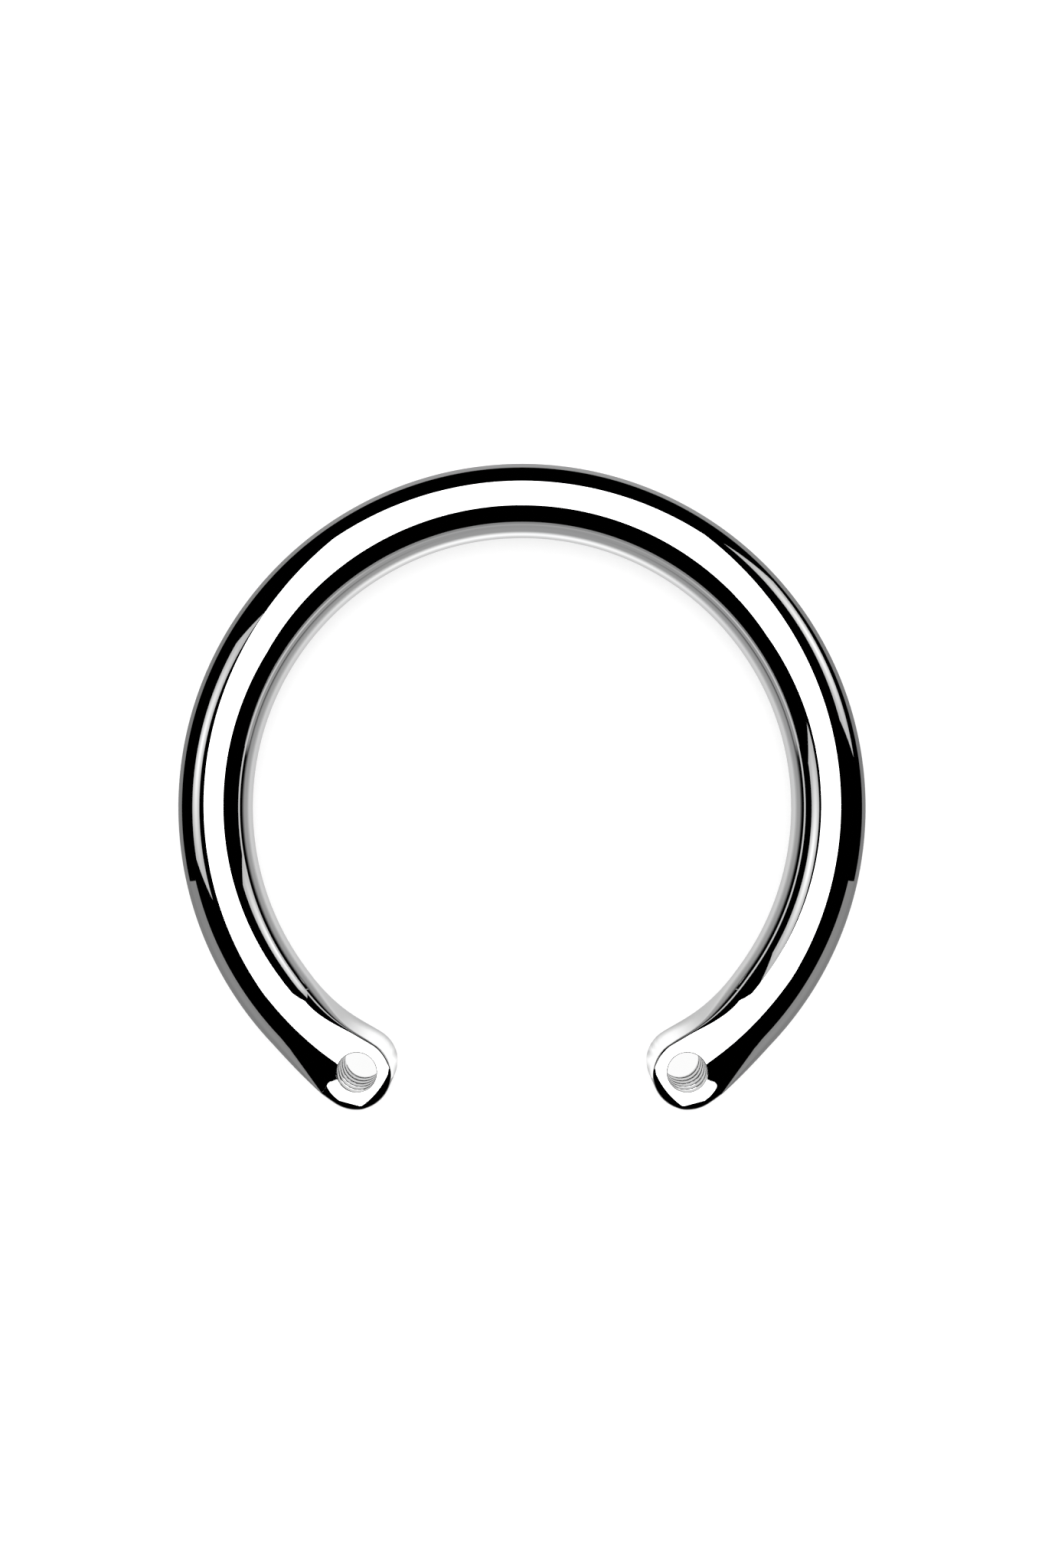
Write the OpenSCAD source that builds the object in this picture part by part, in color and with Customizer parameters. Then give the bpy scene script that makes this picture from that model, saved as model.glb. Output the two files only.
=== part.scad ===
// Septum ring: an open bow of round wire with a flat tapped eyelet at each end.
// It lies on its side. Z is the ring's axis and Y points to the closed top of the bow.
// The origin is on the surface that the ring rests on, under the middle of its outline.
// Sizes are in millimetres and angles in degrees.

/* [Bow] */
// Diameter of the round wire
wire_d = 1.2; // [1:0.1:1.6]
// Inner diameter of the bow
bow_id = 8.9; // [8:0.1:14]

/* [Legs] */
// Angle below level, seen from the ring's centre, where the wire starts to flatten
flatten_angle = 32; // [24:1:40]
// Angle below level of the eyelets, seen from the ring's centre
eyelet_angle = 58; // [52:1:64]
// How far the inner side of a leg draws in just before its eyelet
neck_in = 0.04; // [0:0.01:0.08]

/* [Eyelets] */
// Diameter of an eyelet
eyelet_d = 1.15; // [1.05:0.05:1.3]
// Rounding of the eyelet's edges
edge_r = 0.1; // [0.05:0.01:0.15]
// Diameter of the tapped hole at the crests of its thread
hole_d = 0.64; // [0.5:0.02:0.7]
// How far the hole sits from the eyelet's middle towards the ring's centre
hole_inset = 0.04; // [0:0.01:0.06]
// Width of the lead-in at each end of the hole
lead_in = 0.04; // [0.02:0.01:0.06]

/* [Hidden] */
$fn = 96;
wire_r = wire_d / 2;
eyelet_r = eyelet_d / 2;
hole_r = hole_d / 2;
// Radius of the bow along the middle of its wire
bow_r = bow_id / 2 + wire_r;
// The outline's highest and lowest points, measured from the ring's centre
outline_top = bow_r + wire_r;
outline_bottom = -bow_r * sin(eyelet_angle) - eyelet_r;
// The ring's centre, which puts the outline's middle over the origin
centre = [0, -(outline_top + outline_bottom) / 2, wire_r];
// A leg starts with a plain round stretch this many degrees long inside the bow
start_overlap = 0.5;
// A leg is this much smaller than the wire and the eyelet that it runs into
leg_inset = 0.002;
// Steps along a leg from the round wire to its eyelet, and points in each quarter of a section
leg_steps = 10;
quarter_points = 10;
section_points = 4 * quarter_points;
// How closely a section's points gather at its corners
corner_pull = 1.6;
// Puts the deepest place of the neck about two thirds of the way down a leg
neck_place = 1.7;
// How far the hole's cutter runs past the faces
cut_past = 0.2;

function blend(a, b, share) = a + (b - a) * share;

// Angle of a section's point. The points gather at the corners of the squared section.
function point_angle(i) =
    let (
        quarter = floor(i / quarter_points),
        way = 2 * (i % quarter_points) / quarter_points - 1
    )
    90 * quarter + 45 + 45 * sign(way) * pow(abs(way), corner_pull);

// Distance from the middle of a rounded rectangle to its edge, in the direction t
function rounded_reach(t, half_w, half_h, r) =
    let (
        across = abs(cos(t)),
        up = abs(sin(t)),
        to_side = across * half_h > up * half_w ? half_w / across : half_h / up,
        in_corner = to_side * across > half_w - r && to_side * up > half_h - r,
        along = (half_w - r) * across + (half_h - r) * up,
        corner_reach2 = pow(half_w - r, 2) + pow(half_h - r, 2) - r * r
    )
    in_corner ? along + sqrt(along * along - corner_reach2) : to_side;

// How far a leg's inner side is drawn in, which is nothing at either end of the leg
function neck_depth(share) = neck_in * pow(sin(180 * pow(share, neck_place)), 2);

// One point of a leg. Step 0 is where it leaves the bow, and the last is the eyelet's middle.
// Step -1 is the other end of the round stretch inside the bow.
function leg_point(step, t) =
    let (
        share = max(0, step) / leg_steps,
        squared = rounded_reach(t, eyelet_r, wire_r, edge_r),
        reach = blend(wire_r, squared, share) - leg_inset,
        inner = max(0, -cos(t)),
        radius = bow_r + reach * cos(t) + inner * neck_depth(share),
        turn = step < 0 ? start_overlap - flatten_angle : -blend(flatten_angle, eyelet_angle, share)
    )
    [radius * cos(turn), radius * sin(turn), reach * sin(t)];

// The round wire, from one leg round the top to the other
module bow() {
    rotate([0, 0, -flatten_angle])
        rotate_extrude(angle = 180 + 2 * flatten_angle, $fn = 180)
            translate([bow_r, 0])
                circle(wire_r);
}

// The leg on the right, which turns from a round section to a squared one
module leg() {
    last = (leg_steps + 1) * section_points;
    points = [
        for (step = [-1 : leg_steps], i = [0 : section_points - 1])
            leg_point(step, point_angle(i))
    ];
    walls = [
        for (s = [0 : leg_steps], i = [0 : section_points - 1])
            let (
                a = s * section_points + i,
                b = s * section_points + (i + 1) % section_points
            )
            each [[a, b + section_points, b], [a, a + section_points, b + section_points]]
    ];
    first_end = [for (i = [0 : section_points - 1]) i];
    last_end = [for (i = [section_points - 1 : -1 : 0]) last + i];
    polyhedron(points, concat(walls, [first_end], [last_end]));
}

// Places something at the middle of the right eyelet, with X pointing away from the ring's centre
module at_eyelet() {
    rotate([0, 0, -eyelet_angle])
        translate([bow_r, 0, 0])
            children();
}

// A flat barrel as tall as the wire is thick, with rounded edges
module eyelet() {
    rotate_extrude() {
        translate([0, -wire_r + edge_r])
            square([eyelet_r, wire_d - 2 * edge_r]);
        translate([0, -wire_r])
            square([eyelet_r - edge_r, wire_d]);
        for (side = [-1, 1])
            translate([eyelet_r - edge_r, side * (wire_r - edge_r)])
                circle(edge_r);
    }
}

// What is cut away for the tapped hole: a bore with a lead-in at each face
module tapped_hole() {
    cylinder(r = hole_r, h = wire_d + 2 * cut_past, center = true);
    for (side = [0, 1])
        mirror([0, 0, side])
            translate([0, 0, wire_r - lead_in])
                cylinder(r1 = hole_r, r2 = hole_r + lead_in + cut_past, h = lead_in + cut_past);
}

module ring() {
    color("gainsboro")
        translate(centre)
            difference() {
                union() {
                    bow();
                    for (side = [0, 1])
                        mirror([side, 0, 0]) {
                            leg();
                            at_eyelet()
                                eyelet();
                        }
                }
                for (side = [0, 1])
                    mirror([side, 0, 0])
                        at_eyelet()
                            translate([-hole_inset, 0, 0])
                                tapped_hole();
            }
}

ring();
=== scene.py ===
import math

import bmesh
import bpy
from mathutils import Matrix, Vector


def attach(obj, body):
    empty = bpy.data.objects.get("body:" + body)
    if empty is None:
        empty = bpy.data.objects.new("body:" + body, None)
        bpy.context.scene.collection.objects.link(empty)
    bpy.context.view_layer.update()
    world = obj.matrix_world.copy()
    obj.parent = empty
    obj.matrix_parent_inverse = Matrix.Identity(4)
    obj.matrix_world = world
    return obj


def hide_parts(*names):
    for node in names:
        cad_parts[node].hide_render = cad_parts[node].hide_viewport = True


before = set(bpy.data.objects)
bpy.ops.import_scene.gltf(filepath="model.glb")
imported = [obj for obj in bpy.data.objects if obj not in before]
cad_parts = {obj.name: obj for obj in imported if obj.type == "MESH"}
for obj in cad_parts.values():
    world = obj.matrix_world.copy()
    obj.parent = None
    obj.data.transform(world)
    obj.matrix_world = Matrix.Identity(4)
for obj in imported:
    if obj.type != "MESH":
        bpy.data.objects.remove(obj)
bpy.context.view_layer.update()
print("frame loaded")

# The ring is modelled in millimetres round its own centre, and set down in metres at the end
mm = 0.001
weld = 0.0002                # points closer than this are one


def mix(a, b, share):
    return a + (b - a) * share


# The same for two tuples
def mixPair(ends, share):
    return tuple(mix(a, b, share) for a, b in zip(*ends))


def clamp(value, low=0.0, high=1.0):
    return max(low, min(high, value))


# Eases from 0 to 1 with no kink at either end
def ease(value):
    value = clamp(value)
    return value * value * (3 - 2 * value)


# A direction in the plan, in degrees anticlockwise from the right
def heading(degrees):
    return Vector((math.cos(math.radians(degrees)), math.sin(math.radians(degrees))))


# The ring: round wire bent to an open bow, its two ends squared off, faced, drilled and tapped.
# The upper half of its right side is built, from the top to the tip, then mirrored down and across.
# Places down the leg are in degrees below level, seen from the ring's centre.

ring = {
    "wireR": 0.6,
    "bowR": 5.05,            # ring's centre to the middle of the wire
    "eyeletAt": 58,
    "eyeletR": 0.575,
    "neckIn": 0.04,          # the inner side draws in just above the eyelet
    "neckFrom": 32,
    "neckPlace": 1.7,        # puts the narrowest place two thirds of the way from there to the eyelet
    "shiftFrom": 47,         # from here to the hole, the middle row moves over to the hole's near edge
    "bowUntil": 30,          # the steps are finer from here
    "bowSteps": 110,
    "legSteps": 48,
    "besideSteps": 32,
    "tipSteps": 44,
    "wallRows": 8,
    "cornerRows": 10,
    "topRows": 18,
    "topCrowd": 0.8,         # how closely the top's rows gather at both its ends
}

# How each side of the leg squares off, from where to where and down to which corner radius
innerSide = {
    "start": 39,
    "end": 54,
    "power": 1,
    "eased": 1,              # 1 starts and ends gently, and 0 follows the power
    "corner": 0.085,
    "tilt": 0,               # degrees that the top slopes down away from its middle
    "gatherStart": 33,       # from where to where the rows gather at the corner
    "gatherEnd": 54,
}
outerSide = {
    "start": 43.5,
    "end": 55,
    "power": 1.5,
    "eased": 0,
    "corner": 0.03,
    "tilt": 5,
    "gatherStart": 41,
    "gatherEnd": 54,
}

# The flat face round the hole. Directions are degrees round the hole from straight outwards.
face = {
    "seamAt": -38,           # where the face starts on the outer side
    "seamSteps": 13,         # of besideSteps, how many lie before the seam
    "seamLast": 0.98,        # the last one is this share of the way to it, so that it is crisp
    "seamNext": 0.012,       # and the first two past it are this share apart, for the same reason
    "seamTight": 2,
    "seamSpread": 1.4,       # the others lie wider apart the farther they are from it
    "seamEnd": 3.07,         # degrees above the eyelet where the seam meets the wire's outer edge
    "seamCorner": 0.06,
    "outerR": 0.526,         # next to the seam its edge is an arc round the hole
    "outerSide": 17,         # the outer edge of the face is a line across this direction
    "outerReach": 0.507,
    "tipSide": 85,           # and its tip is a wide arc across this one
    "tipReach": 0.446,
    "tipR": 1.27,
    "drop": 0.045,           # of the bevel outside the face
    "slope": 0.35,           # and how steep it may get
    "tipDrop": 0.09,         # it is deeper and steeper past the tip
    "tipSlope": 0.7,
    "tipFrom": (80, 110),
    "cornerPart": 0.35,      # share of the bevel's width that its rounded lower edge may take
    "roundFrom": (118, 134), # here it becomes a plain rounded corner
    "cornerR": 0.05,         # which grows to the inner side's
    "cornerFrom": (118, 178),
}

# A line of painted shade along the tight edge of the inner side, which stands in for the dark reflection
# that runs along it
paintedEdgeLine = {
    "row": 13.5,             # its middle, counted from the wire's side up to the middle of its top
    "within": 3.2,           # and the rows over which it fades on either side
    "leg": (50, 56),         # where it sets in down the leg
    "tip": (104, 122),       # and where it ends, in degrees round the hole
}

bore = {
    "crestR": 0.32,
    "depth": 0.115,
    "pitch": 0.225,
    "inset": 0.04,           # the hole sits this far from the eyelet's middle towards the ring's centre
    "rim": 0.015,            # rounding of the hole's edge
    "rimRows": 6,
    "rimEase": 1.4,          # the rounding starts gently at the face
    "rows": 132,
    "land": 0.58,            # share of a turn that the thread leaves uncut
    "soften": 0.5,           # how much its grooves are rounded
    "fadeFrom": 0.01,        # the thread runs out towards each face
    "fadeOver": 0.05,
}

outward = heading(-ring["eyeletAt"])
along = heading(-ring["eyeletAt"] - 90)
middleR = ring["bowR"] - bore["inset"]
holeAt = outward * middleR
rimR = bore["crestR"] + bore["rim"]
rows = ring["wallRows"] + ring["cornerRows"] + ring["topRows"]
cornerRow = ring["wallRows"] + ring["cornerRows"]
# Where a line from the ring's centre just touches the hole's rim: down the leg, round the hole,
# and how far out
besideFrom = ring["eyeletAt"] - math.degrees(math.asin(rimR / middleR))
touchAt = -math.pi / 2 - math.asin(rimR / middleR)
touchR = math.sqrt(middleR ** 2 - rimR ** 2)
seamAt = math.radians(face["seamAt"])
seamBelow = ring["eyeletAt"] - face["seamEnd"]
outlineTop = ring["bowR"] + ring["wireR"]
outlineBottom = -ring["bowR"] * math.sin(math.radians(ring["eyeletAt"])) - ring["eyeletR"]
ringCentre = Vector((0, -(outlineTop + outlineBottom) / 2, ring["wireR"]))


# How far across the top a row lies: 1 at the corner and 0 at the middle, closer together at both ends
def topShare(row):
    share = (row - cornerRow) / ring["topRows"]
    return 1 - share + ring["topCrowd"] * math.sin(2 * math.pi * share) / (2 * math.pi)


# How far across the corner a row lies: 1 at the wall and 0 at the top
def cornerShare(row):
    return math.cos(math.pi / 2 * (row - ring["wallRows"]) / ring["cornerRows"])


# One side of the wire's section at a place down the leg: a wall, a rounded corner and a sloping top,
# which keeps the wire's own curve next to its middle. Where nothing is squared off it is a quarter circle.
# It gives the half width, the corner's radius, the top's tilt and straight length, and the wall's height.
def section(below, side):
    form = outerSide if side > 0 else innerSide
    done = clamp((below - form["start"]) / (form["end"] - form["start"]))
    share = mix(done ** form["power"], ease(done), form["eased"])
    wire = ring["wireR"]
    half = mix(wire, ring["eyeletR"], share)
    corner = mix(wire, form["corner"], share)
    tilt = math.radians(form["tilt"])
    line = (half - corner - (wire - corner) * math.sin(tilt)) / math.cos(tilt)
    wall = (wire - corner) * math.cos(tilt) - line * math.sin(tilt)
    return half, corner, tilt, line, wall


# Sideways distance and height of a row on the leg. The rows are evenly spread on the round wire, and
# gather at the corner farther down.
def legPart(below, row, side):
    half, corner, tilt, line, wall = section(below, side)
    form = outerSide if side > 0 else innerSide
    bend = corner * (math.pi / 2 - tilt)
    top = line + ring["wireR"] * tilt
    if row <= ring["wallRows"]:
        gathered = wall * row / ring["wallRows"]
    elif row <= cornerRow:
        gathered = wall + bend * (row - ring["wallRows"]) / ring["cornerRows"]
    else:
        gathered = wall + bend + top * (1 - topShare(row))
    gather = ease((below - form["gatherStart"]) / (form["gatherEnd"] - form["gatherStart"]))
    walked = mix((wall + bend + top) * row / rows, gathered, gather)
    if walked < wall:
        return half, walked
    if walked < wall + bend:
        turn = (walked - wall) / corner
        return half - corner + corner * math.cos(turn), wall + corner * math.sin(turn)
    left = wall + bend + top - walked
    crown = ring["wireR"] * tilt
    if left < crown:
        turn = left / ring["wireR"]
        return ring["wireR"] * math.sin(turn), ring["wireR"] * math.cos(turn)
    sideways = ring["wireR"] * math.sin(tilt) + (left - crown) * math.cos(tilt)
    return sideways, ring["wireR"] * math.cos(tilt) - (left - crown) * math.sin(tilt)


# How far the inner side is drawn in at this place down the leg
def neck(below):
    share = clamp((below - ring["neckFrom"]) / (ring["eyeletAt"] - ring["neckFrom"]))
    return ring["neckIn"] * math.sin(math.pi * share ** ring["neckPlace"]) ** 2


# A point of the leg: side is 1 outside and -1 inside
def legPoint(below, row, side):
    sideways, high = legPart(below, row, side)
    reach = ring["bowR"] + side * sideways
    if side < 0:
        reach += neck(below) * sideways / ring["eyeletR"]
    shifted = (below - ring["shiftFrom"]) / (besideFrom - ring["shiftFrom"])
    if row > cornerRow and shifted > 0:
        shift = ease(shifted) * (1 - topShare(row))
        reach -= shift * (ring["bowR"] - touchR)
        high = legHeight(heading(-below) * reach, side)
    flat = heading(-below) * reach
    return Vector((flat.x, flat.y, high))


# Height of the leg's upper side over a place in the plan
def legHeight(place, side):
    below = -math.degrees(math.atan2(place.y, place.x))
    half, corner, tilt, _, wall = section(below, side)
    sideways = side * (place.length - ring["bowR"])
    if side < 0:
        sideways /= 1 - neck(below) / ring["eyeletR"]
    sideways = clamp(sideways, 0, half)
    crown = ring["wireR"] * math.sin(tilt)
    if sideways < crown:
        return math.sqrt(ring["wireR"] ** 2 - sideways ** 2)
    if sideways < half - corner * (1 - math.sin(tilt)):
        return ring["wireR"] * math.cos(tilt) - (sideways - crown) * math.tan(tilt)
    return wall + math.sqrt(max(0, corner ** 2 - (sideways - half + corner) ** 2))


# A place in the plan, by its direction round the hole and its distance from the hole's middle
def roundHole(turn, reach):
    return holeAt + reach * (outward * math.cos(turn) + along * math.sin(turn))


# Distance from the hole's middle to the eyelet's outline
def outline(turn):
    return bore["inset"] * math.cos(turn) + math.sqrt(
        ring["eyeletR"] ** 2 - (bore["inset"] * math.sin(turn)) ** 2
    )


# Eases from 0 to 1 between two directions round the hole, in degrees
def between(turn, ends):
    return ease((math.degrees(turn) - ends[0]) / (ends[1] - ends[0]))


# Distance from the hole's middle to where the flat face ends
def faceEdge(turn):
    grown = between(turn, face["cornerFrom"])
    nearest = outline(turn) - mix(face["cornerR"], innerSide["corner"], grown)
    if turn < 0:
        nearest = face["outerR"]
        cornerAt = face["outerR"] - face["seamCorner"]
        off = turn - seamAt - math.asin(face["seamCorner"] / cornerAt)
        if off < 0:
            reach = math.sqrt(max(0, face["seamCorner"] ** 2 - (cornerAt * math.sin(off)) ** 2))
            nearest = cornerAt * math.cos(off) + reach
    off = turn - math.radians(face["outerSide"])
    if math.cos(off) > 0:
        nearest = min(nearest, face["outerReach"] / math.cos(off))
    off = turn - math.radians(face["tipSide"])
    back = face["tipR"] - face["tipReach"]
    return min(nearest, math.sqrt(face["tipR"] ** 2 - (back * math.sin(off)) ** 2) - back * math.cos(off))


# How far the bevel outside the face drops, and the radius of its lower edge
def bevelForm(turn, width):
    past = between(turn, face["tipFrom"])
    rounded = between(turn, face["roundFrom"])
    most = mix(face["cornerPart"], 1, rounded) * width
    corner = min(mix(outerSide["corner"], width, rounded), most)
    steepest = mix(face["slope"], face["tipSlope"], past) * (width - corner)
    return min(mix(face["drop"], face["tipDrop"], past), steepest), corner


# Height of the bevel this far out from the face
def bevelHeight(out, width, drop, corner):
    tilt = math.atan2(drop, width - corner)
    bend = width - corner * (1 - math.sin(tilt))
    if out < bend:
        return ring["wireR"] - drop * out / bend
    wall = ring["wireR"] - drop - corner * math.cos(tilt)
    return wall + math.sqrt(max(0, corner ** 2 - (out - width + corner) ** 2))


# The rows run from the edge of the wire or eyelet up over the bevel and across the face to the hole's rim
def facePoint(turn, row, edgePlace):
    inner = roundHole(turn, faceEdge(turn))
    width = (edgePlace - inner).length
    drop, corner = bevelForm(turn, width)
    if row > cornerRow:
        place = roundHole(turn, rimR).lerp(inner, topShare(row))
        return Vector((place.x, place.y, ring["wireR"]))
    if row >= ring["wallRows"]:
        place = inner.lerp(edgePlace, cornerShare(row))
        return Vector((place.x, place.y, bevelHeight(width * cornerShare(row), width, drop, corner)))
    high = bevelHeight(width, width, drop, corner) * math.sin(math.pi / 2 * row / ring["wallRows"])
    return Vector((edgePlace.x, edgePlace.y, high))


# The leg's outer side beside the hole, this share of the way to the seam
def seamPoint(share, row):
    half, corner, tilt, _, _ = section(besideFrom, 1)
    start = heading(-besideFrom) * (ring["bowR"] + half - corner * (1 - math.sin(tilt)))
    inner = start.lerp(roundHole(seamAt, faceEdge(seamAt)), share)
    edgeBelow = mix(besideFrom, seamBelow, share)
    half, _, _, _, wall = section(edgeBelow, 1)
    edgePlace = heading(-edgeBelow) * (ring["bowR"] + half)
    if row < ring["wallRows"]:
        return Vector((edgePlace.x, edgePlace.y, wall * row / ring["wallRows"]))
    place = inner.lerp(edgePlace, cornerShare(row))
    if row > cornerRow:
        place = roundHole(mix(touchAt, seamAt, share), rimR).lerp(inner, topShare(row))
    return Vector((place.x, place.y, legHeight(place, 1)))


# Beside the near half of the hole, on the outer side: the leg as far as the seam, and then the face
def outerPoint(step, row):
    seamSteps = face["seamSteps"]
    if step < seamSteps:
        return seamPoint(face["seamLast"] * step / (seamSteps - 1), row)
    if step == seamSteps:
        return seamPoint(1, row)
    past = step - seamSteps
    share = (past / (ring["besideSteps"] - seamSteps)) ** face["seamSpread"]
    if past <= face["seamTight"]:
        share = face["seamNext"] * past
    turn = mix(seamAt, 0, share)
    edgeBelow = mix(ring["eyeletAt"], seamBelow, turn / seamAt)
    return facePoint(turn, row, heading(-edgeBelow) * (ring["bowR"] + ring["eyeletR"]))


# The same on the inner side, where the face has no seam
def innerPoint(step, row):
    share = step / ring["besideSteps"]
    below = mix(besideFrom, ring["eyeletAt"], share)
    if row <= cornerRow:
        return legPoint(below, row, -1)
    rim = roundHole(mix(touchAt, -math.pi, share), rimR)
    place = rim.lerp(legPoint(below, cornerRow, -1).xy, topShare(row))
    return Vector((place.x, place.y, legHeight(place, -1)))


# Where a point of the plain bent wire lies: its side (0 past the hole), its row, its direction round the
# hole, and how far down the leg it is
def wirePlace(point):
    off = point.xy - holeAt
    side = 1 if point.xy.length > middleR else -1
    sideways = side * (point.xy.length - middleR)
    if off.dot(along) > weld:
        side = 0
        sideways = off.length
    row = round(rows * math.atan2(point.z, sideways - bore["inset"]) / (math.pi / 2))
    turn = math.atan2(off.dot(along), off.dot(outward))
    return side, row, turn, -math.degrees(math.atan2(point.y, point.x))


# Where a point that lies there goes
def pressedPoint(side, row, turn, below):
    if side == 0:
        return facePoint(turn, row, roundHole(turn, outline(turn)))
    step = round(ring["besideSteps"] * (below - besideFrom) / (ring["eyeletAt"] - besideFrom))
    if step < 0:
        return legPoint(below, row, side)
    return outerPoint(step, row) if side > 0 else innerPoint(step, row)


# How much painted shade a point takes for the edge's dark line, which is none away from the inner side's
# edge
def edgePaintedShade(side, row, turn, below):
    start, end = paintedEdgeLine["leg"]
    share = between(turn, paintedEdgeLine["tip"])
    if side != 0:
        share = ease((below - start) / (end - start)) if side < 0 else 0
    return share * clamp(1 - abs(row - paintedEdgeLine["row"]) / paintedEdgeLine["within"])


# A quarter of the wire's section, run down the outer side, round the hole and back up the inner side
def bendWire(bm):
    start = bm.verts.new((0, ring["bowR"] + ring["wireR"], 0))
    bmesh.ops.spin(
        bm, geom=[start], cent=(0, ring["bowR"], 0), axis=(1, 0, 0), angle=math.pi / 2, steps=rows
    )
    end = bm.verts[:] + bm.edges[:]
    down = [
        (90 + ring["bowUntil"], ring["bowSteps"]),
        (besideFrom - ring["bowUntil"], ring["legSteps"]),
        (ring["eyeletAt"] - besideFrom, ring["besideSteps"]),
    ]
    centre = (0, 0, 0)
    tip = (holeAt.x, holeAt.y, 0)
    turns = [(centre, -angle, steps) for angle, steps in down]
    turns += [(tip, -180, ring["tipSteps"])]
    turns += [(centre, angle, steps) for angle, steps in reversed(down)]
    for cent, angle, steps in turns:
        turned = bmesh.ops.spin(
            bm, geom=end, cent=cent, axis=(0, 0, 1), angle=math.radians(angle), steps=steps
        )
        end = [part for part in turned["geom_last"] if not isinstance(part, bmesh.types.BMFace)]


# Presses the plain wire into the squared leg and its flat face, with the bow's top exactly in the middle
def pressLegs(bm, paintedShade):
    for vert in bm.verts:
        place = wirePlace(vert.co)
        vert[paintedShade] = edgePaintedShade(*place)
        vert.co = pressedPoint(*place)
        if abs(vert.co.x) < weld:
            vert.co.x = 0


# The lower half and the other leg, with every seam closed
def mirrorRing(bm):
    bmesh.ops.remove_doubles(bm, verts=bm.verts, dist=weld)
    for axis in ("Z", "X"):
        whole = bm.verts[:] + bm.edges[:] + bm.faces[:]
        bmesh.ops.mirror(bm, geom=whole, matrix=Matrix.Identity(4), merge_dist=weld, axis=axis)
        bmesh.ops.remove_doubles(bm, verts=bm.verts, dist=weld)


# Radius of the threaded wall at a height and an angle round the hole. A screw turns in clockwise.
def threadR(high, turn):
    phase = (high / bore["pitch"] - turn / (2 * math.pi)) % 1
    away = abs(2 * phase - 1)                       # 0 on a crest and 1 in a groove
    cut = clamp((away - bore["land"]) / (1 - bore["land"]))
    cut = mix(cut, ease(cut), bore["soften"])
    fade = ease((ring["wireR"] - abs(high) - bore["fadeFrom"]) / bore["fadeOver"])
    return bore["crestR"] + bore["depth"] * cut * fade


# The hole's wall: both rims joined, cut into rows, then rounded at the rims and threaded between
def tapEyelet(bm, side, layers):
    axis = Vector((side * holeAt.x, holeAt.y))
    rims = [edge for edge in bm.edges if edge.is_boundary and edge.verts[0].co.x * side > 0]
    for vert in {vert for edge in rims for vert in edge.verts}:
        vert[layers["deep"]] = 0 if vert.co.z > 0 else 1
        vert[layers["rimHigh"]] = abs(vert.co.z)
        vert[layers["cut"]] = 1
    joined = bmesh.ops.bridge_loops(bm, edges=rims)
    bmesh.ops.subdivide_edges(bm, edges=joined["edges"], cuts=bore["rows"] - 1, use_grid_fill=True)
    rimRows = bore["rimRows"]
    for vert in bm.verts:
        if vert[layers["cut"]] < 0.5 or vert.co.x * side < 0:
            continue
        off = vert.co.xy - axis
        row = round(vert[layers["deep"]] * bore["rows"])
        rimHigh = vert[layers["rimHigh"]]
        fromEnd = min(row, bore["rows"] - row)
        up = 1 if row * 2 < bore["rows"] else -1
        if fromEnd <= rimRows:
            roll = math.pi / 2 * (fromEnd / rimRows) ** bore["rimEase"]
            inset = bore["rim"] * math.sin(roll)
            high = up * (rimHigh - bore["rim"] * (1 - math.cos(roll)))
        else:
            inset = bore["rim"]
            straight = 2 * (rimHigh - bore["rim"])
            high = straight * (0.5 - (row - rimRows) / (bore["rows"] - 2 * rimRows))
        wall = threadR(high, math.atan2(off.y, off.x)) - bore["crestR"]
        # Painted shade in the thread: the deeper a groove is cut, the darker it is painted
        vert[layers["paintedShade"]] = wall / bore["depth"]
        reach = rimR - inset + wall
        place = axis + reach * off.normalized()
        vert.co = (place.x, place.y, high)


# Writes where each point lies on the wire laid out straight: along it, across it and up
def layOut(bm, wire):
    for vert in bm.verts:
        ahead = math.atan2(vert.co.y, vert.co.x)
        if ahead < -math.pi / 2:
            ahead += 2 * math.pi
        vert[wire] = (ahead * ring["bowR"], vert.co.xy.length - ring["bowR"], vert.co.z)


def makeRing():
    bm = bmesh.new()
    # On a hole's wall, cut is 1, deep runs from the upper rim to the lower, and rimHigh is a rim's height
    layers = {name: bm.verts.layers.float.new(name) for name in ("deep", "rimHigh", "cut", "paintedShade")}
    bendWire(bm)
    print("wire bent:", len(bm.verts), "points")
    pressLegs(bm, layers["paintedShade"])
    mirrorRing(bm)
    for side in (-1, 1):
        tapEyelet(bm, side, layers)
    layOut(bm, bm.verts.layers.float_vector.new("wire"))
    bmesh.ops.recalc_face_normals(bm, faces=bm.faces)
    for part in bm.faces:
        part.smooth = True
        inHole = all(vert[layers["cut"]] > 0.5 for vert in part.verts)
        part.material_index = 1 if inHole else 0
    bmesh.ops.scale(bm, vec=(mm, mm, mm), verts=bm.verts)
    bmesh.ops.translate(bm, vec=ringCentre * mm, verts=bm.verts)
    openEdges = sum(edge.is_boundary for edge in bm.edges)
    mesh = bpy.data.meshes.new("septumRing")
    bm.to_mesh(mesh)
    bm.free()
    print("ring made:", len(mesh.polygons), "faces,", openEdges, "open edges")
    piece = bpy.data.objects.new("septumRing", mesh)
    bpy.context.collection.objects.link(piece)
    return piece


# Polish marks and slight staining, as masks laid out along the wire: how many lie in a millimetre
# along it, across it and up, and between which values of the noise they show
marks = {
    "Hairlines": {"perMm": (0.9, 42, 42), "detail": 3, "from": 0.58, "to": 0.76},
    "Smears": {"perMm": (0.35, 1.6, 1.6), "detail": 3, "from": 0.35, "to": 0.7},
}


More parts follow.
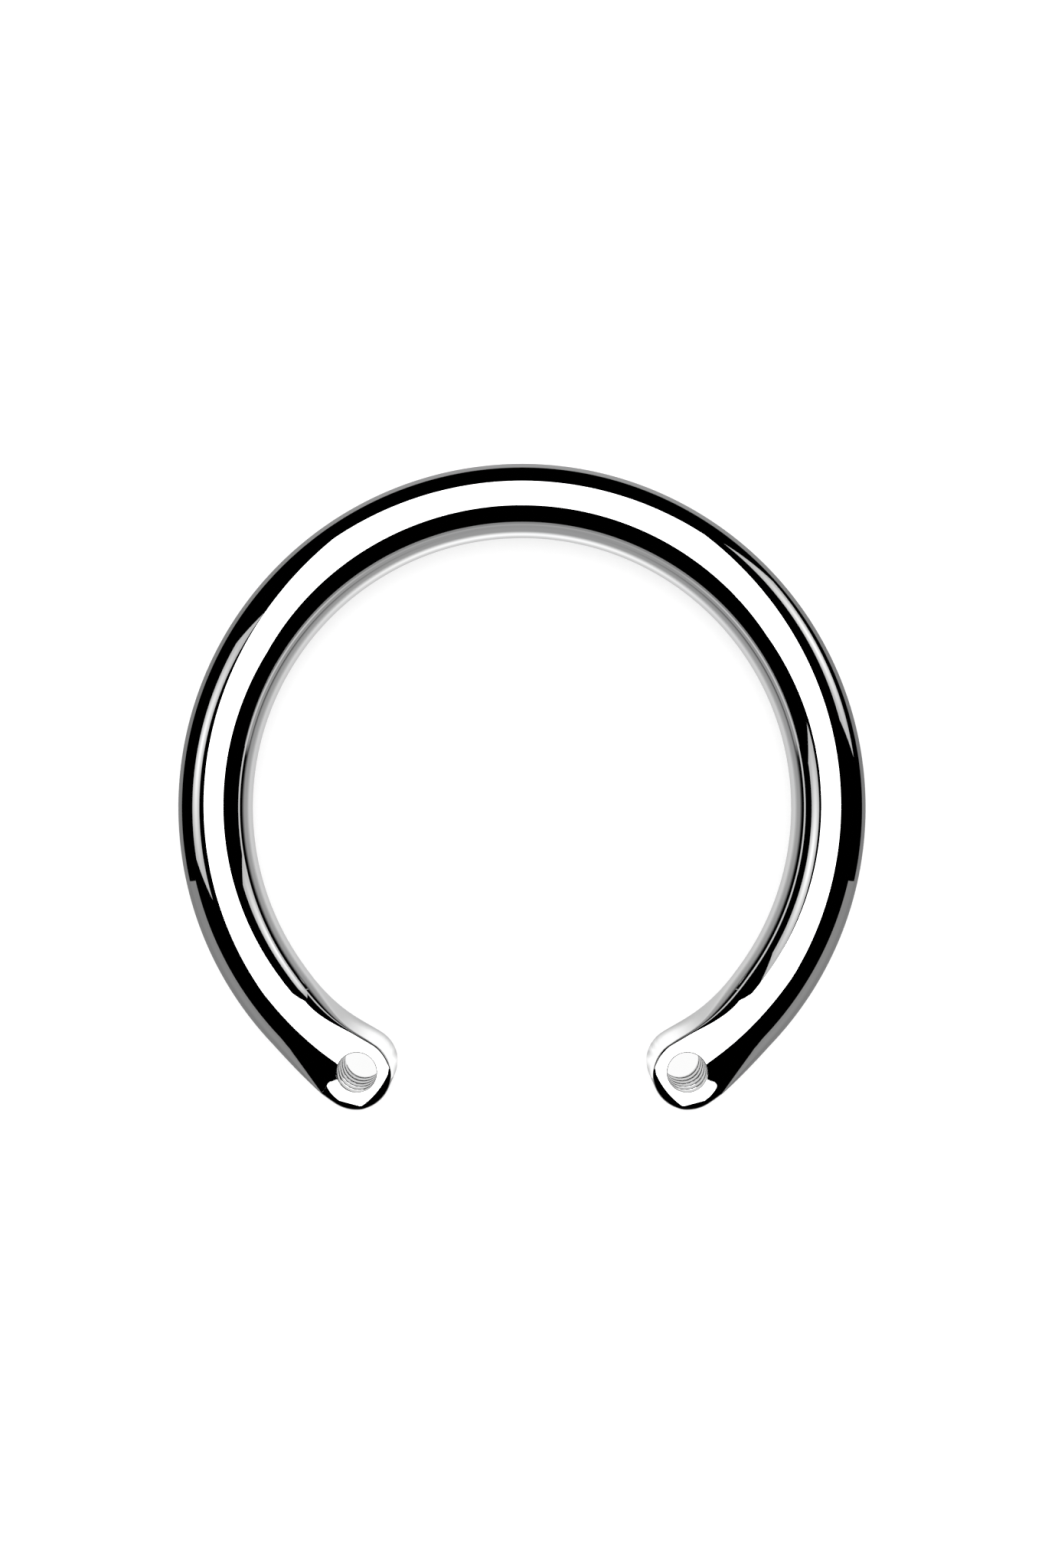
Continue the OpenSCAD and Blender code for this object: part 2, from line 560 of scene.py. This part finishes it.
def makeMarks():
    group = bpy.data.node_groups.new("polishMarks", "ShaderNodeTree")
    for name in marks:
        group.interface.new_socket(name, in_out="INPUT", socket_type="NodeSocketFloat")
    for name in ("Roughness", "Smear", "Height"):
        group.interface.new_socket(name, in_out="OUTPUT", socket_type="NodeSocketFloat")
    nodes, links = group.nodes, group.links
    given = nodes.new("NodeGroupInput")
    output = nodes.new("NodeGroupOutput")
    wire = nodes.new("ShaderNodeAttribute")
    wire.attribute_name = "wire"
    both = nodes.new("ShaderNodeMath")
    both.operation = "MAXIMUM"
    masks = {}
    for place, (name, mark) in enumerate(marks.items()):
        stretch = nodes.new("ShaderNodeMapping")
        stretch.inputs["Scale"].default_value = mark["perMm"]
        noise = nodes.new("ShaderNodeTexNoise")
        noise.inputs["Scale"].default_value = 1
        noise.inputs["Detail"].default_value = mark["detail"]
        shown = nodes.new("ShaderNodeMapRange")
        shown.inputs["From Min"].default_value = mark["from"]
        shown.inputs["From Max"].default_value = mark["to"]
        times = nodes.new("ShaderNodeMath")
        times.operation = "MULTIPLY"
        links.new(wire.outputs["Vector"], stretch.inputs["Vector"])
        links.new(stretch.outputs["Vector"], noise.inputs["Vector"])
        links.new(noise.outputs["Fac"], shown.inputs["Value"])
        links.new(shown.outputs["Result"], times.inputs[0])
        links.new(given.outputs[name], times.inputs[1])
        links.new(times.outputs[0], both.inputs[place])
        masks[name] = shown.outputs["Result"]
    links.new(both.outputs[0], output.inputs["Roughness"])
    links.new(masks["Smears"], output.inputs["Smear"])
    links.new(masks["Hairlines"], output.inputs["Height"])
    return group


polishMarks = makeMarks()

titanium = {
    "light": (0.90, 0.90, 0.895, 1),
    "dark": (0.85, 0.853, 0.862, 1),
    # Colour of the painted shade in the thread's grooves and along the inner edge
    "paintedShade": (0.05, 0.05, 0.052, 1),
}

# Its two finishes: the polish all over, and the metal that is cut in the holes
finishes = {
    "polishedTitanium": {
        "clean": 0.012,          # roughness without marks
        "marked": 0.06,
        "hairlines": 0.6,        # how much these two roughen it
        "smears": 0.35,
        "depth": 0.00002,        # of a hairline
        "shadeFrom": 0.2,         # painted shade starts to show here
        "shadeFull": 1,
        "shadeMost": 0.8,         # and this is as dark as it gets
    },
    "cutTitanium": {
        "clean": 0.1,
        "marked": 0.22,
        "hairlines": 0.8,
        "smears": 0.6,
        "depth": 0.0002,
        "shadeFrom": 0.03,
        "shadeFull": 0.25,
        "shadeMost": 0.95,
    },
}


# Lays painted shade over a colour: darkening in the thread's grooves, and a painted dark reflection line
# along the tight edge
def addPaintedShade(nodes, links, colour, finish):
    shadeMask = nodes.new("ShaderNodeAttribute")
    shadeMask.attribute_name = "paintedShade"
    darkening = nodes.new("ShaderNodeMapRange")
    darkening.inputs["From Min"].default_value = finish["shadeFrom"]
    darkening.inputs["From Max"].default_value = finish["shadeFull"]
    darkening.inputs["To Max"].default_value = finish["shadeMost"]
    links.new(shadeMask.outputs["Fac"], darkening.inputs["Value"])
    darkened = nodes.new("ShaderNodeMix")
    darkened.data_type = "RGBA"
    darkened.inputs["B"].default_value = titanium["paintedShade"]
    links.new(darkening.outputs["Result"], darkened.inputs["Factor"])
    links.new(colour, darkened.inputs["A"])
    return darkened.outputs["Result"]


# Titanium of one finish, with its marks and its painted shade
def makeTitanium(name, finish):
    mat = bpy.data.materials.new(name)
    mat.use_nodes = True
    nodes, links = mat.node_tree.nodes, mat.node_tree.links
    shader = nodes["Principled BSDF"]
    shader.inputs["Metallic"].default_value = 1
    worn = nodes.new("ShaderNodeGroup")
    worn.node_tree = polishMarks
    worn.inputs["Hairlines"].default_value = finish["hairlines"]
    worn.inputs["Smears"].default_value = finish["smears"]
    tone = nodes.new("ShaderNodeMix")
    tone.data_type = "RGBA"
    tone.inputs["A"].default_value = titanium["light"]
    tone.inputs["B"].default_value = titanium["dark"]
    links.new(worn.outputs["Smear"], tone.inputs["Factor"])
    links.new(addPaintedShade(nodes, links, tone.outputs["Result"], finish), shader.inputs["Base Color"])
    rough = nodes.new("ShaderNodeMapRange")
    rough.inputs["To Min"].default_value = finish["clean"]
    rough.inputs["To Max"].default_value = finish["marked"]
    links.new(worn.outputs["Roughness"], rough.inputs["Value"])
    links.new(rough.outputs["Result"], shader.inputs["Roughness"])
    scratched = nodes.new("ShaderNodeBump")
    scratched.invert = True
    scratched.inputs["Strength"].default_value = 1
    scratched.inputs["Distance"].default_value = finish["depth"] * mm
    links.new(worn.outputs["Height"], scratched.inputs["Height"])
    links.new(scratched.outputs["Normal"], shader.inputs["Normal"])
    return mat


septumRing = makeRing()
for name, finish in finishes.items():
    septumRing.data.materials.append(makeTitanium(name, finish))
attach(septumRing, "root")
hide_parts("ring")
print("titanium finished")

# The table and the studio, in millimetres too. What glows has its brightness on its points.


# Glows as brightly as the points say, and if it is one-sided, it can be seen through from behind
def glowMaterial(name, oneSided):
    mat = bpy.data.materials.new(name)
    mat.use_nodes = True
    nodes, links = mat.node_tree.nodes, mat.node_tree.links
    nodes.clear()
    bright = nodes.new("ShaderNodeAttribute")
    bright.attribute_name = "bright"
    lamp = nodes.new("ShaderNodeEmission")
    output = nodes.new("ShaderNodeOutputMaterial")
    links.new(bright.outputs["Fac"], lamp.inputs["Strength"])
    links.new(lamp.outputs["Emission"], output.inputs["Surface"])
    if oneSided:
        sides = nodes.new("ShaderNodeNewGeometry")
        clear = nodes.new("ShaderNodeBsdfTransparent")
        either = nodes.new("ShaderNodeMixShader")
        links.new(sides.outputs["Backfacing"], either.inputs["Fac"])
        links.new(lamp.outputs["Emission"], either.inputs[1])
        links.new(clear.outputs["BSDF"], either.inputs[2])
        links.new(either.outputs["Shader"], output.inputs["Surface"])
    return mat


glow = glowMaterial("glow", False)
frontGlow = glowMaterial("frontGlow", True)

# Hidden from these, a piece shows only in the ring's polish and casts no light on the table
onlyMirrored = ("camera", "diffuse", "shadow")


# Puts a piece of the studio in place, hidden from the kinds of ray that are named
def addStage(name, bm, mat, hiddenFrom):
    mesh = bpy.data.meshes.new(name)
    bmesh.ops.scale(bm, vec=(mm, mm, mm), verts=bm.verts)
    bm.to_mesh(mesh)
    bm.free()
    mesh.materials.append(mat)
    thing = bpy.data.objects.new(name, mesh)
    bpy.context.collection.objects.link(thing)
    for ray in hiddenFrom:
        setattr(thing, "visible_" + ray, False)


table = {
    "radius": 300,
    "segments": 96,
    "drop": 0.01,            # of the table below the glowing disc that paints its reflection
    "steps": (180, 240),     # of that disc, outwards and round
    "colour": (0.4, 0.4, 0.4, 1),
    "glow": 0.65,
}


def makeTable():
    mat = bpy.data.materials.new("paleTable")
    mat.use_nodes = True
    shader = mat.node_tree.nodes["Principled BSDF"]
    shader.inputs["Base Color"].default_value = table["colour"]
    shader.inputs["Roughness"].default_value = 1
    shader.inputs["Specular IOR Level"].default_value = 0
    shader.inputs["Emission Color"].default_value = (1, 1, 1, 1)
    shader.inputs["Emission Strength"].default_value = table["glow"]
    bm = bmesh.new()
    bmesh.ops.create_circle(bm, cap_ends=True, segments=table["segments"], radius=table["radius"])
    bmesh.ops.translate(bm, vec=(0, 0, -table["drop"]), verts=bm.verts)
    addStage("table", bm, mat, ("glossy",))


# A line of steps from start to end, turned full circle round the ring's axis
def turnLine(start, end, steps, turns):
    bm = bmesh.new()
    edge = bm.edges.new((bm.verts.new(start), bm.verts.new(end)))
    bmesh.ops.subdivide_edges(bm, edges=[edge], cuts=steps - 1)
    bmesh.ops.spin(
        bm, geom=bm.verts[:] + bm.edges[:], axis=(0, 0, 1), angle=2 * math.pi, steps=turns, use_merge=True
    )
    bmesh.ops.remove_doubles(bm, verts=bm.verts, dist=weld)
    return bm


# A painted reflection of the table near the ring, on a glowing disc that only the polish sees: distance
# from the ring's centre and brightness
mirrored = [
    (0, 0.02),
    (1.3, 0.12),
    (1.9, 0.27),
    (2.5, 0.36),
    (3.15, 0.37),
    (3.5, 0.47),
    (3.85, 0.7),
    (4.2, 0.65),
    (4.45, 0.58),
    (5, 0.4),
    (5.6, 0.24),
    (7.5, 0.23),
]

# Towards the top of the bow it gets no darker than the least, and is brighter in a band
towardsTop = {
    "from": 20,              # degrees above level
    "to": 85,
    "least": 0.36,
    "at": 3.6,               # the band's distance from the ring's centre
    "within": 0.75,
    "gain": 0.85,
}

# It is brightest beside the eyelets, but for a thin line of painted shade at their foot
besideEyelets = {
    "from": 49,              # degrees below level
    "to": 57,
    "glow": 1.1,
    "foot": 0.5,
    "line": 0.12,
    "thinnest": 0.2,         # share of its width that the line keeps at an eyelet's side
}

# Painted light on the table under a hole, a glowing patch that lifts the shade there: how bright it is for
# the camera, and for the thread that mirrors it
holePatch = {"radius": 0.5, "segments": 32, "glow": 0.97, "mirrored": 0.7}


# Brightness beside the right eyelet. Up the leg, the thin line follows the leg's own foot.
def eyeletGlow(place):
    off = place - outward * ring["bowR"]
    width = max(besideEyelets["thinnest"], -off.dot(outward) / off.length)
    gap = (off.length - ring["eyeletR"]) / width
    if off.dot(along) < 0:
        gap = min(gap, ring["bowR"] - ring["eyeletR"] - place.length)
    return mix(besideEyelets["foot"], besideEyelets["glow"], ease(gap / besideEyelets["line"]))


# Brightness of the painted table reflection at a place measured from the ring's centre
def tableGlow(place):
    right = Vector((abs(place.x), place.y))
    if (right - holeAt).length < holePatch["radius"]:
        return holePatch["mirrored"]
    reach = place.length
    found = mirrored[-1][1]
    for (near, nearGlow), (far, farGlow) in zip(mirrored, mirrored[1:]):
        if near <= reach <= far:
            found = mix(nearGlow, farGlow, (reach - near) / (far - near))
    turn = math.degrees(math.atan2(right.y, right.x))
    top, eyelet = towardsTop, besideEyelets
    band = ease(1 - abs(reach - top["at"]) / top["within"])
    ahead = ease((turn - top["from"]) / (top["to"] - top["from"]))
    found = mix(found, max(found, top["least"]) * (1 + top["gain"] * band), ahead)
    share = ease((-turn - eyelet["from"]) / (eyelet["to"] - eyelet["from"]))
    return mix(found, eyeletGlow(right), share if reach < ring["bowR"] else 0)


def makePaintedTableReflection():
    bm = turnLine((0, 0, 0), (mirrored[-1][0], 0, 0), *table["steps"])
    bright = bm.verts.layers.float.new("bright")
    for vert in bm.verts:
        vert[bright] = tableGlow(vert.co.xy)
        vert.co.y += ringCentre.y
    addStage("paintedTableReflection", bm, glow, onlyMirrored)


def makeHolePatches():
    for name, side in (("paintedLightUnderHoleLeft", -1), ("paintedLightUnderHoleRight", 1)):
        bm = bmesh.new()
        bmesh.ops.create_circle(
            bm, cap_ends=True, segments=holePatch["segments"], radius=holePatch["radius"]
        )
        bright = bm.verts.layers.float.new("bright")
        for vert in bm.verts:
            vert[bright] = holePatch["glow"]
            vert.co += Vector((side * holeAt.x, holeAt.y + ringCentre.y, table["drop"] / 2))
        addStage(name, bm, glow, ("diffuse", "glossy", "shadow"))


# A thin post in the ring's middle, which its inner walls mirror as a dark and a light line
post = {
    "radius": 0.3,
    "behind": 0.08,          # how far its middle lies from the ring's, towards the eyelets
    "high": 1.26,
    "steps": (52, 120),      # up and round
    "low": 0,
    "top": 0.63,
    "split": 0.8,            # the height where the dark line ends, and how softly
    "blur": 0.05,
    "backFrom": 12.5,        # from here round, towards the top of the bow, it gets nearly even
    "backLow": 0.34,
    "backTop": 0.4,
    "evenFrom": 40,
    "evenTo": 62,
}


# Whether a height is in the light line, with a soft edge
def overSplit(high):
    return ease((high - post["split"]) / post["blur"] + 0.5)


def makePost():
    bm = turnLine((post["radius"], 0, 0), (post["radius"], 0, post["high"]), *post["steps"])
    bright = bm.verts.layers.float.new("bright")
    for vert in bm.verts:
        up = overSplit(vert.co.z)
        turn = math.degrees(math.atan2(vert.co.y, abs(vert.co.x)))
        even = ease((turn - post["evenFrom"]) / (post["evenTo"] - post["evenFrom"]))
        front = mix(post["low"], post["top"], up)
        back = mix(post["backLow"], mix(post["top"], post["backTop"], even), up)
        vert[bright] = mix(front, back, clamp(turn - post["backFrom"]))
        vert.co.y += ringCentre.y - post["behind"]
    addStage("middlePost", bm, glow, onlyMirrored)


# The legs mirror the same lines in a screen just behind the post, which shows on their side only
screen = {"wide": 5, "at": 0.25, "steps": 52}


def makeScreen():
    bm = bmesh.new()
    bmesh.ops.create_grid(bm, x_segments=1, y_segments=screen["steps"], size=0.5)
    bright = bm.verts.layers.float.new("bright")
    for vert in bm.verts:
        high = (vert.co.y + 0.5) * post["high"]
        vert[bright] = mix(post["low"], post["top"], overSplit(high))
        vert.co = (vert.co.x * screen["wide"], ringCentre.y + screen["at"], high)
    addStage("middleScreen", bm, frontGlow, onlyMirrored)


# A card's corners are directions from the ring: degrees round from the right, and down from overhead.
# Its brightness goes from the middle to the edge, and its top edge sags this many degrees at both ends.
cards = {
    "leftCard": {
        "top": ((144, 40.5), (198, 39.5)),
        "foot": ((151, 64), (190, 64)),
        "bright": (1.35, 0.56),
        "sag": 0,
    },
    "rightCard": {
        "top": ((14.5, 64.5), (52, 75.5)),
        "foot": ((7.8, 89), (41.4, 101)),
        "bright": (1.35, 0.56),
        "sag": 0,
    },
    "lowCard": {
        "top": ((193.5, 78.5), (346.5, 78.5)),
        "foot": ((193.5, 116), (346.5, 116)),
        "bright": (0.38, 0.26),
        "sag": 6,
    },
}

# What all three share
cardForm = {
    "distance": 400,
    "acrossSteps": 32,
    "upSteps": 16,
    "fade": 0.7,             # under 1, the brightness changes most near the middle
    "sagBend": 3,            # and over 1, the sag is mostly near the ends
}


def makeCard(name, card):
    bm = bmesh.new()
    bmesh.ops.create_grid(bm, x_segments=cardForm["acrossSteps"], y_segments=cardForm["upSteps"], size=1)
    bright = bm.verts.layers.float.new("bright")
    for vert in bm.verts:
        vert[bright] = mix(*card["bright"], clamp(vert.co.xy.length) ** cardForm["fade"])
        foot, top = (mixPair(card[edge], (vert.co.x + 1) / 2) for edge in ("foot", "top"))
        up = (vert.co.y + 1) / 2
        turn, polar = (math.radians(angle) for angle in mixPair((foot, top), up))
        polar += math.radians(card["sag"]) * abs(vert.co.x) ** cardForm["sagBend"] * up
        flat = Vector((math.cos(turn), math.sin(turn), 0)) * math.sin(polar)
        vert.co = ringCentre + cardForm["distance"] * (flat + Vector((0, 0, math.cos(polar))))
    addStage(name, bm, glow, ("camera", "shadow"))


# The card overhead, measured from the ring's centre: how far towards the top of the bow its front and
# back edges lie, and where each has its left and its right end
overhead = {
    "front": (-17, -22.6, 26.2),
    "back": (73, -52, 50),
    "high": 51,
    "bright": 3,
}


def makeOverhead():
    bm = bmesh.new()
    bmesh.ops.create_grid(bm, x_segments=1, y_segments=1, size=0.5)
    bright = bm.verts.layers.float.new("bright")
    for vert in bm.verts:
        vert[bright] = overhead["bright"]
        y, left, right = mixPair((overhead["front"], overhead["back"]), vert.co.y + 0.5)
        x = mix(left, right, vert.co.x + 0.5)
        vert.co = ringCentre + Vector((x, y, overhead["high"]))
    addStage("overheadCard", bm, glow, ("camera",))


makeTable()
makePaintedTableReflection()
makeHolePatches()
makePost()
makeScreen()
for name, card in cards.items():
    makeCard(name, card)
makeOverhead()

# The air lights the table, and nothing mirrors it
air = {"colour": (1, 1, 1, 1), "glow": 0.6}

world = bpy.data.worlds.new("studioAir")
bpy.context.scene.world = world
world.use_nodes = True
world.node_tree.nodes["Background"].inputs["Color"].default_value = air["colour"]
world.node_tree.nodes["Background"].inputs["Strength"].default_value = air["glow"]
world.cycles_visibility.glossy = False
print("studio set")

camera = {
    "at": (0.0085, -0.011, 23.29),
    "lens": 31.59,           # for a sensor 36 mm tall
    "sensor": 36,
    "near": 1,               # what is nearer or farther isn't seen
    "far": 1000,
}

eye = bpy.data.cameras.new("eye")
eye.sensor_width = camera["sensor"]
eye.lens = camera["lens"]
eye.clip_start = camera["near"] * mm
eye.clip_end = camera["far"] * mm
eyeObject = bpy.data.objects.new("eye", eye)
eyeObject.location = Vector(camera["at"]) * mm
bpy.context.collection.objects.link(eyeObject)
bpy.context.scene.camera = eyeObject
bpy.context.scene.view_settings.view_transform = "Standard"
bpy.context.scene.view_settings.look = "None"
print("camera placed")
